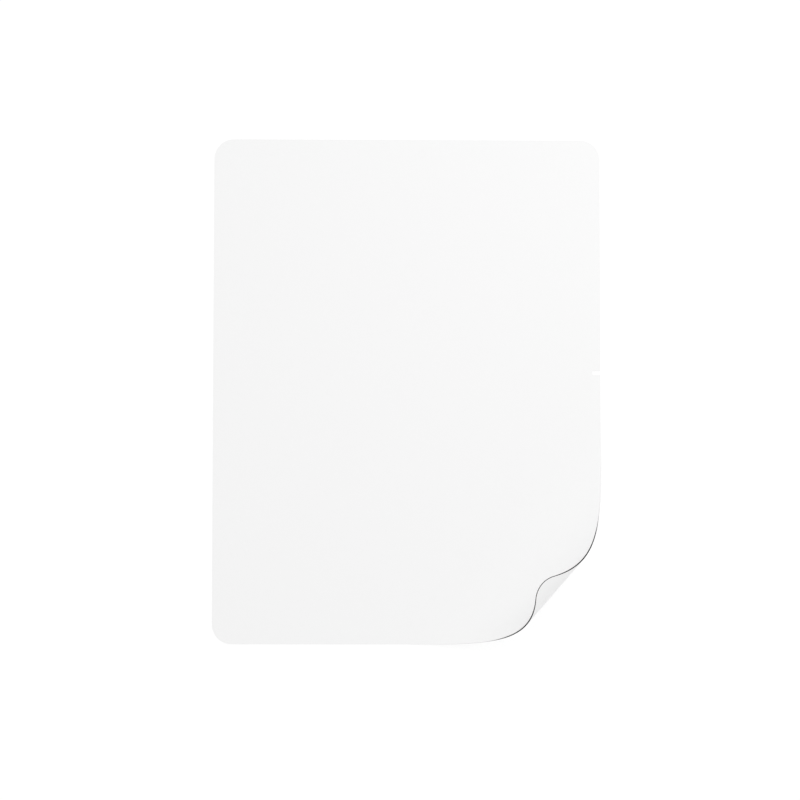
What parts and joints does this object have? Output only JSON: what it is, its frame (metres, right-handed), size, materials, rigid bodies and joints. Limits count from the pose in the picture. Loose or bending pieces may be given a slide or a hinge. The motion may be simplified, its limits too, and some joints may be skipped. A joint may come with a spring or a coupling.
{
  "type": "paper-like screen protector",
  "caption": "Thin matte film that lies on a tablet's glass, with rounded corners, a small notch in its long edge and a rolled-up corner.",
  "frame": {"origin": "middle of the underside, the adhesive face that the film rests on", "axes": "+X across the film towards its notched edge, +Y along the long edges away from the rolled corner, +Z out of the matte face"},
  "size_m": [0.2135, 0.279, 0.0475],
  "materials": {
    "matte_film": "fine paper-like matte face, smoother underside, dark cut edge"
  },
  "bodies": {
    "root": {"film": "matte_film"}
  },
  "joints": []
}
